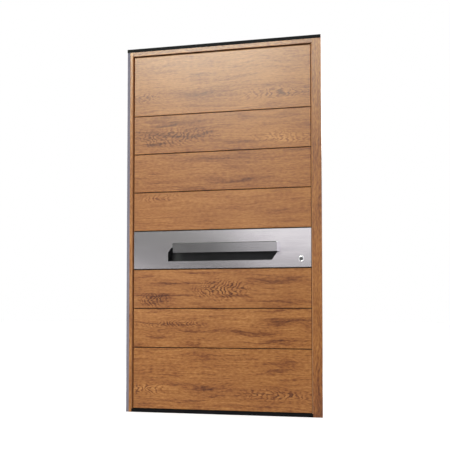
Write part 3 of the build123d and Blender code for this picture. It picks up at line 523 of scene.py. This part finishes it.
# %% Rings and domes
DOME = ((11.3, 0.0, 0), (17.0, 0.0, 0), (17.0, 1.0, 0), (16.7, 2.2, 0), (15.8, 3.2, 0), (14.4, 3.85, 0),
        (13.0, 4.0, 0), (11.9, 3.9, 0), (11.3, 3.4, 0))
COLLAR = ((9.3, -0.3, 0), (12.0, -0.3, 0), (12.0, 1.2, 0), (11.3, 1.8, 0), (9.8, 1.8, 0), (9.3, 1.4, 0))
FINIAL = ((9.0, -0.4, 0), (9.0, 0.3, 0), (8.4, 1.4, 0), (6.8, 2.3, 0), (4.2, 2.9, 0), (1.4, 3.1, 0))
PIN_OVER = 3 * MM  # how far a pin reaches past its wings
for name, facing in (("outer_rosette", -1), ("inner_rosette", 1)):
    low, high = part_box(name)
    seat = low.y if facing > 0 else high.y
    centre = ((low.x + high.x) / 2, seat, (low.z + high.z) / 2)
    ring = turned(name + "_dome", DOME, [centre], (0, facing, 0), polished_and_highlight, "leaf", ring_shape=True, steps=72)
    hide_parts(name)
low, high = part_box("lever_rose")
collar_at = [((low.x + high.x) / 2, high.y, (low.z + high.z) / 2)]
turned("lever_collar", COLLAR, collar_at, (0, 1, 0), polished_and_highlight, "leaf", ring_shape=True, steps=72)
low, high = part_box("hinge_pins")
axis = ((low.x + high.x) / 2, (low.y + high.y) / 2)
tops, feet = [], []
for number in (1, 2, 3):
    low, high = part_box(f"hinge_{number}_frame_wing")
    tops.append((*axis, high.z + PIN_OVER))
    feet.append((*axis, low.z - PIN_OVER))
turned("upper_finials", FINIAL, tops, (0, 0, 1), hardware, "frame", steps=48)
turned("lower_finials", FINIAL, feet, (0, 0, -1), hardware, "frame", steps=48)

# %% [markdown]
# ## Seals
# The frame's gasket is a hollow rubber bulb in a saw cut, and the leaf's sweep is a strip with three thin
# lips. Each is one profile carried along a path. The path is so simple that the whole sweep is one
# broadcast: for the gasket, every profile point is offset outwards along the mitre at each corner.


# %% Sweep the frame's gasket
def swept(name, stations, finish, body):
    """A closed profile at several stations (array of station, point, xyz), joined by quads, ends closed."""
    count, size = stations.shape[:2]
    here = np.arange(count - 1)[:, None] * size + np.arange(size)
    after = here - here % size + (here + 1) % size
    quads = np.stack([here, after, after + size, here + size], -1).reshape(-1, 4)
    ends = np.stack([np.arange(size)[::-1], np.arange(size) + (count - 1) * size])
    return add_piece(name, stations.reshape(-1, 3), quads.tolist() + ends.tolist(), finish, body)


def mitred(corners, outward, inward):
    """A profile at each corner (x, z, sign of x, sign of z): outward is laid along the signs, and inward
    holds the y of every profile point, so the corner's two sides meet in a mitre."""
    return np.stack([np.stack([x + sx * outward, inward, z + sz * outward], -1) for x, z, sx, sz in corners])


gasket_low, gasket_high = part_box("frame_gasket")
half, bulb = 2.5 * MM, gasket_high.y - gasket_low.y
FOOT, LIFT = 1.2 * MM, 0.1 * MM  # half width of the bulb's flat foot, and how far its corners are lifted
sweep_angle = np.linspace(0, math.pi, 13)
outward = np.concatenate([np.cos(sweep_angle) * half, [-half, -FOOT, FOOT, half]])
inward = np.concatenate([np.sin(sweep_angle) * bulb * 0.55 + bulb * 0.45, [LIFT, 0, 0, LIFT]])
left, right, top = gasket_low.x + half, gasket_high.x - half, gasket_high.z - half
sill = gasket_low.z
corners = [(left, sill, -1, 0), (left, top, -1, 1), (right, top, 1, 1), (right, sill, 1, 0)]
gasket = swept("bulb_gasket", mitred(corners, outward, gasket_low.y + inward), rubber, "frame")
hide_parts("frame_gasket")

# %% [markdown]
# ## Liners in the gaps
# A thin brown liner on the inner sides of the frame's lips makes the gap round the leaf read as a dark
# line. It is a strip with a fin at its front, which reaches furthest across the gap on the lock side. The
# same mitred sweep makes it, one side at a time, because the sides differ in colour and reach: under the
# head the liner is painted darker, as shade.

# %% Sweep the liners
INSET = 2 * MM              # a liner starts this far behind the cover board's front
NOSE, FIN = 1 * MM, 3 * MM  # its fin's tip lies this far behind that, and the fin ends this far behind it
STRIP = 1.0                 # thickness of the strip in mm
cover_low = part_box("lock_cover_board")[0]
lip_left, lip_right, lip_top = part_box("hinge_jamb")[1].x, cover_low.x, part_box("head_rail")[0].z
front = cover_low.y + INSET
inward = np.array([front, gasket_low.y, gasket_low.y, front + FIN, front + FIN, front + NOSE])
corners = [(lip_left, sill, 1, 0), (lip_left, lip_top, 1, -1),
           (lip_right, lip_top, -1, -1), (lip_right, sill, -1, 0)]
# The head's liner is painted darker than the sides', as the deeper shade under the head.
# Per side: the corners it runs between, the fin's reach in mm, the finish
LINERS = {"hinge_gap_liner": (0, 1.4, brown_rubber), "head_gap_liner": (1, 1.4, head_shade_rubber),
          "lock_gap_liner": (2, 4.0, brown_rubber)}
for name, (corner, reach, finish) in LINERS.items():
    outward = np.array([0, 0, STRIP, STRIP, reach, reach]) * MM
    swept(name, mitred(corners[corner:corner + 2], outward, inward), finish, "frame")

# %% [markdown]
# ## The leaf's sweep
# The sweep's profile is drawn in shares of the solid's own depth and height, so that its three lips touch
# the threshold just where the plain strip did.

# %% Sweep the seal under the leaf
low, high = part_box("bottom_seal")
lips = np.array([0, 0.06, 0.11, 0.28, 0.44, 0.5, 0.56, 0.72, 0.89, 0.94, 1, 1, 0])
drop = np.array([1, 1, 0.45, 0.45, 0.45, 1, 0.45, 0.45, 0.45, 1, 1, 0, 0])
profile_y = low.y + lips * (high.y - low.y)
profile_z = high.z - drop * (high.z - low.z)
stations = np.stack([np.stack([np.full(len(lips), x), profile_y, profile_z], -1) for x in (low.x, high.x)])
sweep_seal = swept("lipped_sweep_seal", stations, rubber, "leaf")
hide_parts("bottom_seal")

# %% [markdown]
# ## The studio
# The door stands on a plain pale floor against white. The world shows white to the camera, to mirrors and
# to glass, and lights everything else softly. The floor is a white board that still takes the door's
# shadow: it adds a little light of its own for the same rays, so that it meets the background.

# %% Floor and background
AMBIENT, FLOOR_GLOW = 0.34, 0.63
HALF_FLOOR = 60  # metres


def seen_strength(tree, unseen, seen):
    """A strength for rays of the camera, mirrors and glass, and another for rays that only light things:
    the greatest of the three ray flags, carried from 0 and 1 to unseen and seen."""
    rays = add(tree, "LightPath").outputs
    flag = add(tree, "Math", (rays["Is Camera Ray"], rays["Is Glossy Ray"]), operation="MAXIMUM")
    flag = add(tree, "Math", (flag, rays["Is Transmission Ray"]), operation="MAXIMUM")
    return add(tree, "MapRange", (flag, 0.0, 1.0, unseen, seen))


def stage_panel(name, corners, finish):
    """One flat quad of the studio, given by its four corners in metres."""
    mesh = bpy.data.meshes.new(name)
    mesh.from_pydata(corners, [], [(0, 1, 2, 3)])
    mesh.materials.append(finish)
    panel = bpy.data.objects.new(name, mesh)
    scene.collection.objects.link(panel)
    return panel


world = bpy.data.worlds.new("white_studio")
scene.world = world
world.use_nodes = True
world.node_tree.nodes.clear()
white = linear("#ffffff")
strength = seen_strength(world.node_tree, AMBIENT, 1.0)
sky = add(world.node_tree, "Background", {"Color": white, "Strength": strength})
add(world.node_tree, "OutputWorld", (sky,))

# Floor board: matt off-white paint, bright enough to vanish into the background but for the shadow.
floor_finish, tree = start_finish("white_floor_board")
board = add(tree, "BsdfPrincipled", {"Base Color": linear("#d9d9d9"), "Roughness": 0.9,
                                     "Specular IOR Level": 0.1})
glow = add(tree, "Emission", {"Color": white, "Strength": seen_strength(tree, 0.0, FLOOR_GLOW)})
add(tree, "OutputMaterial", (add(tree, "AddShader", (board, glow)),))
floor_corners = [(x * HALF_FLOOR, y * HALF_FLOOR, 0) for x, y in ((-1, -1), (1, -1), (1, 1), (-1, 1))]
stage_panel("floor", floor_corners, floor_finish)
print("floor and white background ready")

# %% [markdown]
# ## Light
# A soft box on the left and a sun-like key from the right light the door evenly, and a soft light stands
# behind for the inside face. The lacquer and the steel are made by what they mirror, so a bright panel up
# on the left, which only reflections see, whitens the top of the door.


# %% Lamps
def lamp(name, kind, energy, place, target, **settings):
    """A lamp at a place, hidden from the camera and turned to a target: tilted up from straight down by the
    angle of its aim, then swung round Z to the aim's heading. Settings are its size and shape."""
    light = bpy.data.lights.new(name, kind)
    light.energy = energy
    for key, value in settings.items():
        setattr(light, key, value)
    holder = bpy.data.objects.new(name, light)
    scene.collection.objects.link(holder)
    aim = np.array(target, float) - np.array(place, float)
    holder.location = place
    holder.rotation_euler = (math.acos(-aim[2] / np.linalg.norm(aim)), 0, math.atan2(-aim[0], aim[1]))
    holder.visible_camera = False
    return holder


box = lamp("soft_box", "AREA", 102, (-2.0, -4.2, 1.5), (0, 0, 1.1), shape="RECTANGLE", size=2.4, size_y=2.4)
box.visible_glossy = False
sheen = lamp("sheen_panel", "AREA", 265, (-1.85, -4.0, 3.65), (0, 0, 2.2), shape="RECTANGLE",
             size=2.6, size_y=1.3, color=linear("#f8fff0")[:3])
sheen.visible_diffuse = False
lamp("key", "SUN", 0.8, (3.1, -3.4, 4.9), (0, 0, 1.0), angle=math.radians(3))
lamp("back_light", "AREA", 260, (1.5, 4.5, 3.4), (0, 0, 1.1), shape="RECTANGLE", size=3.0, size_y=2.5)

# %% [markdown]
# ## Dark cards
# Brushed steel in a white room is white. Two dark cards, which only reflections see, give it its tones: a
# slanting one draws a slanting dark sweep across the band, and a low one shades the band's lower edge and
# keeps the lower boards deep in colour.

# %% Dark cards
# Card: matt dark grey, which the steel mirrors as its darker half.
card_finish = two_tone("dark_card", "#2a2a2c", "#303032", 0.8, 300, 5, 0.1)
# Per card: its distance in front of the door, and its four corners (x, z), all in metres
CARDS = {"slanting_card": (2.6, [(-3.6, 1.38), (-0.65, 0.72), (-0.65, 1.0), (-3.1, 5.0)]),
         "low_card": (2.2, [(-3.6, 0.0), (0.25, 0.0), (0.25, 1.07), (-3.6, 0.14)])}
for name, (depth, outline) in CARDS.items():
    card = stage_panel(name, [(x, -depth, z) for x, z in outline], card_finish)
    card.visible_camera = card.visible_diffuse = card.visible_shadow = False
print("cards for the reflections:", list(CARDS))

# %% [markdown]
# ## Camera
# The picture was taken from 20 degrees to the right of the door's middle and about 7 m away, at a low eye
# height, with a long lens. Most of its upward look is a small tilt, and the rest a little shift.

# %% Camera
SENSOR, LENS = 36, 95.12         # mm
EYE = (2.4651, -6.7562, 0.6146)  # metres
TILT, TURN = 3.62, 19.991        # degrees up from level, and round from the door's normal
SHIFT = 0.025                    # share of the picture's width
camera_data = bpy.data.cameras.new("camera")
camera_data.sensor_width = SENSOR
camera_data.lens = LENS
camera_data.shift_y = SHIFT
camera = bpy.data.objects.new("camera", camera_data)
camera.location = EYE
camera.rotation_euler = (math.radians(90 + TILT), 0, math.radians(TURN))
scene.collection.objects.link(camera)
scene.camera = camera
scene.view_settings.view_transform = "Standard"
print("camera at", camera.location[:])
